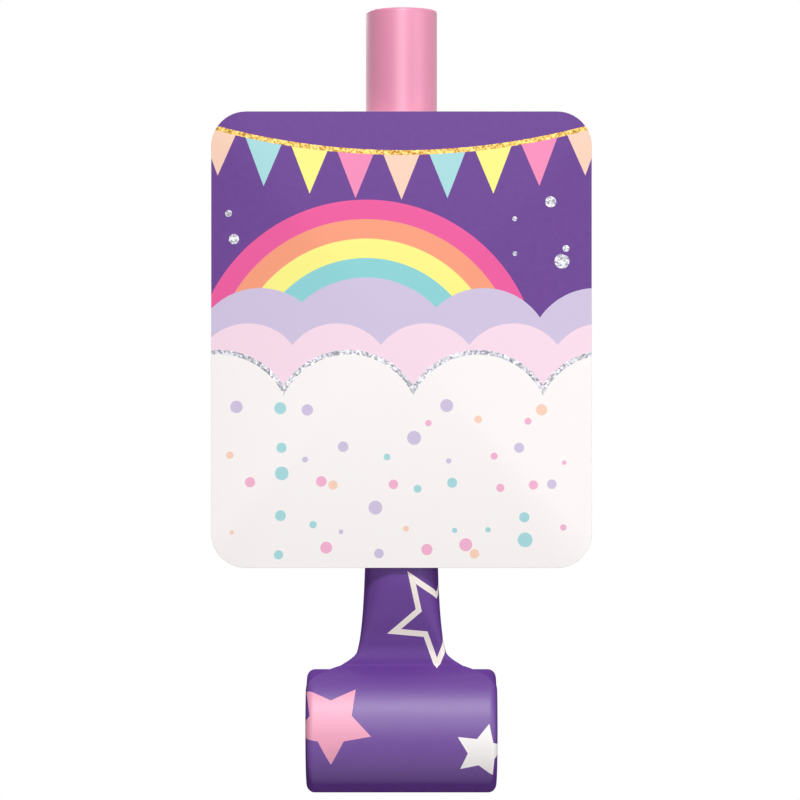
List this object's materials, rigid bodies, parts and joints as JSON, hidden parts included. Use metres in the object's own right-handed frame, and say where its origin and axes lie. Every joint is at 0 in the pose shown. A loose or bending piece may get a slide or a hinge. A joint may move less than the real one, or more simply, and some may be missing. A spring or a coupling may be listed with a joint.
{
  "type": "party horn blower",
  "caption": "Party blowout: plastic mouthpiece with a reed, a flat card glued to its front, and a paper tube rolled up with a spring band that unrolls when blown.",
  "frame": {"origin": "on the mouthpiece axis, in the plane of the blowing rim", "axes": "+Z along the mouthpiece out of its mouth end, +X to the right of the card's printed front, +Y from the card's front to its back"},
  "size_m": [0.0646, 0.0219, 0.1345],
  "materials": {
    "pink_plastic": "smooth glossy moulded plastic",
    "printed_card": "printed paperboard with a satin coat, white on its back and edges",
    "hot_melt_glue": "set hot-melt glue",
    "reed_plastic": "white moulded plastic",
    "reed_film": "thin clear-white film",
    "purple_paper": "satin printed gift-wrap paper",
    "spring_band": "thin rolled spring-steel band"
  },
  "bodies": {
    "holder": {"mouthpiece": "pink_plastic", "card": "printed_card", "card_glue": "hot_melt_glue", "reed_shallot": "reed_plastic", "reed_ring": "reed_plastic", "paper_neck": "purple_paper"},
    "tongue": {"reed_tongue": "reed_film"},
    "roll_01": {"roll_paper_01": "purple_paper", "roll_spring_01": "spring_band"},
    "roll_02": {"roll_paper_02": "purple_paper", "roll_spring_02": "spring_band"},
    "roll_03": {"roll_paper_03": "purple_paper", "roll_spring_03": "spring_band"},
    "roll_04": {"roll_paper_04": "purple_paper", "roll_spring_04": "spring_band"},
    "roll_05": {"roll_paper_05": "purple_paper", "roll_spring_05": "spring_band"},
    "roll_06": {"roll_paper_06": "purple_paper", "roll_spring_06": "spring_band"},
    "roll_07": {"roll_paper_07": "purple_paper", "roll_spring_07": "spring_band"},
    "roll_08": {"roll_paper_08": "purple_paper", "roll_spring_08": "spring_band"},
    "roll_09": {"roll_paper_09": "purple_paper", "roll_spring_09": "spring_band"},
    "roll_10": {"roll_paper_10": "purple_paper", "roll_spring_10": "spring_band"},
    "roll_11": {"roll_paper_11": "purple_paper", "roll_spring_11": "spring_band"},
    "roll_12": {"roll_paper_12": "purple_paper", "roll_spring_12": "spring_band"},
    "roll_13": {"roll_paper_13": "purple_paper", "roll_spring_13": "spring_band"},
    "roll_14": {"roll_paper_14": "purple_paper", "roll_spring_14": "spring_band"},
    "roll_15": {"roll_paper_15": "purple_paper", "roll_spring_15": "spring_band"},
    "roll_16": {"roll_paper_16": "purple_paper", "roll_spring_16": "spring_band"},
    "roll_17": {"roll_paper_17": "purple_paper", "roll_spring_17": "spring_band"},
    "roll_18": {"roll_paper_18": "purple_paper", "roll_spring_18": "spring_band"},
    "roll_19": {"roll_paper_19": "purple_paper", "roll_spring_19": "spring_band"},
    "roll_20": {"roll_paper_20": "purple_paper", "roll_spring_20": "spring_band"},
    "roll_21": {"roll_paper_21": "purple_paper", "roll_spring_21": "spring_band"},
    "roll_22": {"roll_paper_22": "purple_paper", "roll_spring_22": "spring_band"},
    "roll_23": {"roll_paper_23": "purple_paper", "roll_spring_23": "spring_band"},
    "roll_24": {"roll_paper_24": "purple_paper", "roll_spring_24": "spring_band"}
  },
  "joints": [
    {"name": "reed_beat", "type": "hinge", "parent": "holder", "child": "tongue", "pos_m": [0, -0.00025, -0.0833], "axis": [-1, 0, 0], "range_deg": [-1, 2.2], "stiffness_Nm_per_rad": 0.003},
    {"name": "neck_bend", "type": "hinge", "parent": "holder", "child": "roll_01", "pos_m": [0, 0.00065, -0.1103], "axis": [1, 0, 0], "range_deg": [0, 30], "stiffness_Nm_per_rad": 0.004341},
    {"name": "unroll_02", "type": "hinge", "parent": "roll_01", "child": "roll_02", "pos_m": [0, -0.00795, -0.12329], "axis": [-1, 0, 0], "range_deg": [0, 60], "stiffness_Nm_per_rad": 0.004442},
    {"name": "unroll_03", "type": "hinge", "parent": "roll_02", "child": "roll_03", "pos_m": [0, -0.00235, -0.13299], "axis": [-1, 0, 0], "range_deg": [0, 60], "stiffness_Nm_per_rad": 0.004547},
    {"name": "unroll_04", "type": "hinge", "parent": "roll_03", "child": "roll_04", "pos_m": [0, 0.0086, -0.13299], "axis": [-1, 0, 0], "range_deg": [0, 60], "stiffness_Nm_per_rad": 0.004658},
    {"name": "unroll_05", "type": "hinge", "parent": "roll_04", "child": "roll_05", "pos_m": [0, 0.01395, -0.12372], "axis": [-1, 0, 0], "range_deg": [0, 60], "stiffness_Nm_per_rad": 0.004775},
    {"name": "unroll_06", "type": "hinge", "parent": "roll_05", "child": "roll_06", "pos_m": [0, 0.00873, -0.11467], "axis": [-1, 0, 0], "range_deg": [0, 60], "stiffness_Nm_per_rad": 0.004897},
    {"name": "unroll_07", "type": "hinge", "parent": "roll_06", "child": "roll_07", "pos_m": [0, -0.00147, -0.11467], "axis": [-1, 0, 0], "range_deg": [0, 60], "stiffness_Nm_per_rad": 0.005026},
    {"name": "unroll_08", "type": "hinge", "parent": "roll_07", "child": "roll_08", "pos_m": [0, -0.00645, -0.12329], "axis": [-1, 0, 0], "range_deg": [0, 60], "stiffness_Nm_per_rad": 0.005162},
    {"name": "unroll_09", "type": "hinge", "parent": "roll_08", "child": "roll_09", "pos_m": [0, -0.0016, -0.13169], "axis": [-1, 0, 0], "range_deg": [0, 60], "stiffness_Nm_per_rad": 0.005305},
    {"name": "unroll_10", "type": "hinge", "parent": "roll_09", "child": "roll_10", "pos_m": [0, 0.00785, -0.13169], "axis": [-1, 0, 0], "range_deg": [0, 60], "stiffness_Nm_per_rad": 0.005457},
    {"name": "unroll_11", "type": "hinge", "parent": "roll_10", "child": "roll_11", "pos_m": [0, 0.01245, -0.12372], "axis": [-1, 0, 0], "range_deg": [0, 60], "stiffness_Nm_per_rad": 0.005617},
    {"name": "unroll_12", "type": "hinge", "parent": "roll_11", "child": "roll_12", "pos_m": [0, 0.00797, -0.11597], "axis": [-1, 0, 0], "range_deg": [0, 60], "stiffness_Nm_per_rad": 0.005787},
    {"name": "unroll_13", "type": "hinge", "parent": "roll_12", "child": "roll_13", "pos_m": [0, -0.00072, -0.11597], "axis": [-1, 0, 0], "range_deg": [0, 60], "stiffness_Nm_per_rad": 0.005968},
    {"name": "unroll_14", "type": "hinge", "parent": "roll_13", "child": "roll_14", "pos_m": [0, -0.00495, -0.12329], "axis": [-1, 0, 0], "range_deg": [0, 60], "stiffness_Nm_per_rad": 0.006161},
    {"name": "unroll_15", "type": "hinge", "parent": "roll_14", "child": "roll_15", "pos_m": [0, -0.00085, -0.13039], "axis": [-1, 0, 0], "range_deg": [0, 60], "stiffness_Nm_per_rad": 0.006366},
    {"name": "unroll_16", "type": "hinge", "parent": "roll_15", "child": "roll_16", "pos_m": [0, 0.0071, -0.13039], "axis": [-1, 0, 0], "range_deg": [0, 60], "stiffness_Nm_per_rad": 0.006586},
    {"name": "unroll_17", "type": "hinge", "parent": "roll_16", "child": "roll_17", "pos_m": [0, 0.01095, -0.12372], "axis": [-1, 0, 0], "range_deg": [0, 60], "stiffness_Nm_per_rad": 0.006821},
    {"name": "unroll_18", "type": "hinge", "parent": "roll_17", "child": "roll_18", "pos_m": [0, 0.00722, -0.11727], "axis": [-1, 0, 0], "range_deg": [0, 60], "stiffness_Nm_per_rad": 0.007074},
    {"name": "unroll_19", "type": "hinge", "parent": "roll_18", "child": "roll_19", "pos_m": [0, 0.00003, -0.11727], "axis": [-1, 0, 0], "range_deg": [0, 60], "stiffness_Nm_per_rad": 0.007346},
    {"name": "unroll_20", "type": "hinge", "parent": "roll_19", "child": "roll_20", "pos_m": [0, -0.00345, -0.12329], "axis": [-1, 0, 0], "range_deg": [0, 60], "stiffness_Nm_per_rad": 0.007639},
    {"name": "unroll_21", "type": "hinge", "parent": "roll_20", "child": "roll_21", "pos_m": [0, -0.0001, -0.12909], "axis": [-1, 0, 0], "range_deg": [0, 60], "stiffness_Nm_per_rad": 0.007958},
    {"name": "unroll_22", "type": "hinge", "parent": "roll_21", "child": "roll_22", "pos_m": [0, 0.00635, -0.12909], "axis": [-1, 0, 0], "range_deg": [0, 60], "stiffness_Nm_per_rad": 0.008304},
    {"name": "unroll_23", "type": "hinge", "parent": "roll_22", "child": "roll_23", "pos_m": [0, 0.00945, -0.12372], "axis": [-1, 0, 0], "range_deg": [0, 60], "stiffness_Nm_per_rad": 0.008681},
    {"name": "unroll_24", "type": "hinge", "parent": "roll_23", "child": "roll_24", "pos_m": [0, 0.00647, -0.11857], "axis": [-1, 0, 0], "range_deg": [0, 60], "stiffness_Nm_per_rad": 0.009095}
  ],
  "couplings": [
    {"joint": "unroll_03", "follows": "unroll_02", "ratio": 1},
    {"joint": "unroll_04", "follows": "unroll_02", "ratio": 1},
    {"joint": "unroll_05", "follows": "unroll_02", "ratio": 1},
    {"joint": "unroll_06", "follows": "unroll_02", "ratio": 1},
    {"joint": "unroll_07", "follows": "unroll_02", "ratio": 1},
    {"joint": "unroll_08", "follows": "unroll_02", "ratio": 1},
    {"joint": "unroll_09", "follows": "unroll_02", "ratio": 1},
    {"joint": "unroll_10", "follows": "unroll_02", "ratio": 1},
    {"joint": "unroll_11", "follows": "unroll_02", "ratio": 1},
    {"joint": "unroll_12", "follows": "unroll_02", "ratio": 1},
    {"joint": "unroll_13", "follows": "unroll_02", "ratio": 1},
    {"joint": "unroll_14", "follows": "unroll_02", "ratio": 1},
    {"joint": "unroll_15", "follows": "unroll_02", "ratio": 1},
    {"joint": "unroll_16", "follows": "unroll_02", "ratio": 1},
    {"joint": "unroll_17", "follows": "unroll_02", "ratio": 1},
    {"joint": "unroll_18", "follows": "unroll_02", "ratio": 1},
    {"joint": "unroll_19", "follows": "unroll_02", "ratio": 1},
    {"joint": "unroll_20", "follows": "unroll_02", "ratio": 1},
    {"joint": "unroll_21", "follows": "unroll_02", "ratio": 1},
    {"joint": "unroll_22", "follows": "unroll_02", "ratio": 1},
    {"joint": "unroll_23", "follows": "unroll_02", "ratio": 1},
    {"joint": "unroll_24", "follows": "unroll_02", "ratio": 1}
  ]
}
